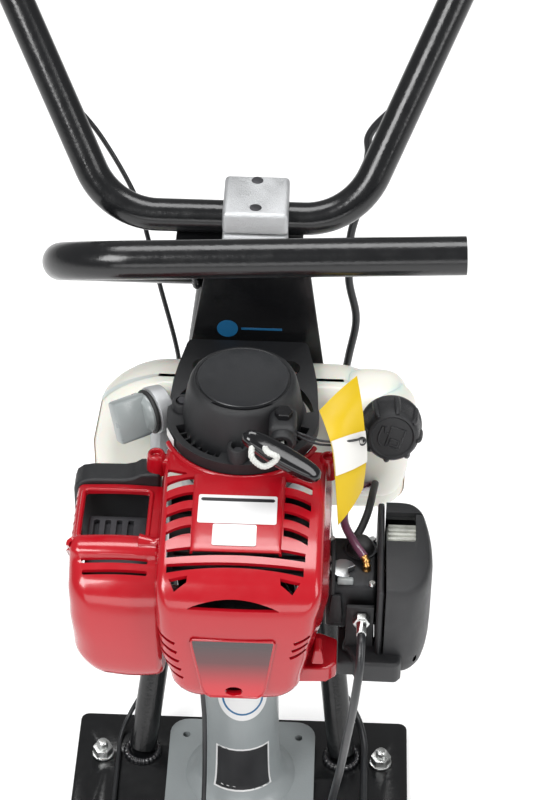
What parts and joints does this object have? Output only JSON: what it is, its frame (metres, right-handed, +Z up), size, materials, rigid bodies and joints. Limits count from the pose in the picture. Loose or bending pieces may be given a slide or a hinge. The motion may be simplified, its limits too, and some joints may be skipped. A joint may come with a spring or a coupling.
{
  "type": "vibrating screed drive unit",
  "caption": "Petrol drive unit for a hand-guided concrete vibrating screed: engine on a column with eccentric shaft, flat base plate, tubular mast, carrying bar and tiltable handlebar.",
  "frame": {"origin": "centre of the base plate's underside on the common axis of engine crankshaft and exciter shaft", "axes": "+Z up along the shafts, +Y back towards the operator and the handles, +X to the carburettor side"},
  "size_m": [0.6357, 0.6729, 0.8854],
  "materials": {
    "black_paint": "gloss powder coat",
    "grey_paint": "satin paint",
    "zinc": "zinc plated",
    "steel": "machined",
    "aluminium": "as cast",
    "red_plastic": "gloss",
    "black_plastic": "matte",
    "tank_plastic": "translucent",
    "grey_plastic": "satin",
    "rubber": "matte",
    "foam": "open foam",
    "rope": "braided"
  },
  "bodies": {
    "frame": {"base_plate": "black_paint", "left_upright": "black_paint", "right_upright": "black_paint", "mast_panel": "black_paint", "top_plate": "black_paint", "guard_bar": "black_paint", "exciter_housing": "grey_paint", "blade_bolt_1": "zinc", "blade_bolt_2": "zinc", "blade_bolt_3": "zinc", "blade_bolt_4": "zinc", "clamp_bolt_front": "zinc", "clamp_bolt_rear": "zinc", "cable_adjuster": "zinc", "lower_bearing": "steel", "upper_bearing": "steel", "muffler": "steel", "spark_plug": "steel", "clamp_base": "aluminium", "clamp_cap": "aluminium", "clutch_case": "aluminium", "crankcase": "aluminium", "cylinder": "aluminium", "piston": "aluminium", "carburettor": "aluminium", "fan_shroud": "red_plastic", "muffler_cover": "red_plastic", "recoil_case": "black_plastic", "muffler_shield": "black_plastic", "air_cleaner_base": "black_plastic", "cable_bracket": "black_plastic", "ignition_coil": "black_plastic", "fuel_tank": "tank_plastic", "fuel_line": "rubber", "throttle_cable": "rubber", "stop_wire": "rubber", "air_filter": "foam"},
    "exciter": {"eccentric_shaft": "steel", "eccentric_weight": "steel", "clutch_drum": "steel"},
    "crank": {"crankshaft": "steel", "flywheel": "aluminium", "clutch_shoes": "steel"},
    "starter_pulley": {"starter_pulley": "grey_plastic"},
    "starter_handle": {"starter_handle": "black_plastic", "starter_rope": "rope"},
    "fuel_cap": {"fuel_cap": "black_plastic"},
    "oil_cap": {"oil_cap": "grey_plastic"},
    "throttle_cam": {"throttle_cam": "steel"},
    "choke_lever": {"choke_lever": "black_plastic"},
    "primer_bulb": {"primer_bulb": "rubber"},
    "air_cleaner_cover": {"air_cleaner_cover": "black_plastic"},
    "handlebar": {"handlebar": "black_paint", "left_grip": "rubber", "right_grip": "rubber", "throttle_bracket": "black_plastic", "switch_housing": "black_plastic"},
    "throttle_lever": {"throttle_lever": "black_plastic"},
    "stop_switch": {"stop_switch": "red_plastic"}
  },
  "joints": [
    {"name": "exciter_spin", "type": "hinge", "parent": "frame", "child": "exciter", "pos_m": [0, 0, 0.1], "axis": [0, 0, 1], "continuous": true},
    {"name": "crank_spin", "type": "hinge", "parent": "frame", "child": "crank", "pos_m": [0, 0, 0.3], "axis": [0, 0, 1], "continuous": true},
    {"name": "starter_pull", "type": "slide", "parent": "frame", "child": "starter_handle", "axis": [0, -1, 0], "range_m": [0, 0.5], "stiffness_N_per_m": 15, "springref_m": -0.15},
    {"name": "starter_pulley_spin", "type": "hinge", "parent": "frame", "child": "starter_pulley", "pos_m": [0, 0, 0.379], "axis": [0, 0, -1], "range_deg": [0, 1340]},
    {"name": "fuel_cap_turn", "type": "hinge", "parent": "frame", "child": "fuel_cap", "pos_m": [0.0985, 0.0238, 0.3415], "axis": [0.03, -0.9502, 0.3101], "range_deg": [0, 360]},
    {"name": "oil_cap_turn", "type": "hinge", "parent": "frame", "child": "oil_cap", "pos_m": [-0.0625, 0.0185, 0.35], "axis": [-0.8412, -0.5408, 0], "range_deg": [0, 360]},
    {"name": "throttle_cam_turn", "type": "hinge", "parent": "frame", "child": "throttle_cam", "pos_m": [0.069, -0.079, 0.302], "axis": [0, 0, 1], "range_deg": [0, 60]},
    {"name": "choke_turn", "type": "hinge", "parent": "frame", "child": "choke_lever", "pos_m": [0.065, -0.0938, 0.274], "axis": [0, 1, 0], "range_deg": [0, 75]},
    {"name": "primer_press", "type": "slide", "parent": "frame", "child": "primer_bulb", "axis": [0, 0, -1], "range_m": [0, 0.005], "stiffness_N_per_m": 400, "springref_m": -0.002},
    {"name": "air_cover_open", "type": "hinge", "parent": "frame", "child": "air_cleaner_cover", "pos_m": [0.097, -0.064, 0.234], "axis": [0, 1, 0], "range_deg": [0, 100]},
    {"name": "handlebar_tilt", "type": "hinge", "parent": "frame", "child": "handlebar", "pos_m": [0, 0.098, 0.4545], "axis": [1, 0, 0], "range_deg": [-25, 40], "deforming": ["throttle_cable", "stop_wire"]},
    {"name": "throttle_squeeze", "type": "hinge", "parent": "handlebar", "child": "throttle_lever", "pos_m": [0.26913, 0.40059, 0.82344], "axis": [0.9947, -0.1025, 0], "range_deg": [0, 17], "stiffness_Nm_per_rad": 0.4, "springref_deg": -14.32},
    {"name": "stop_rock", "type": "hinge", "parent": "handlebar", "child": "stop_switch", "pos_m": [-0.30927, 0.38473, 0.86327], "axis": [-0.9947, -0.1025, 0], "range_deg": [0, 24]}
  ],
  "couplings": [
    {"joint": "starter_pulley_spin", "follows": "starter_pull", "rad_per_m": 46.729},
    {"joint": "throttle_cam_turn", "follows": "throttle_squeeze", "ratio": 3.4}
  ]
}
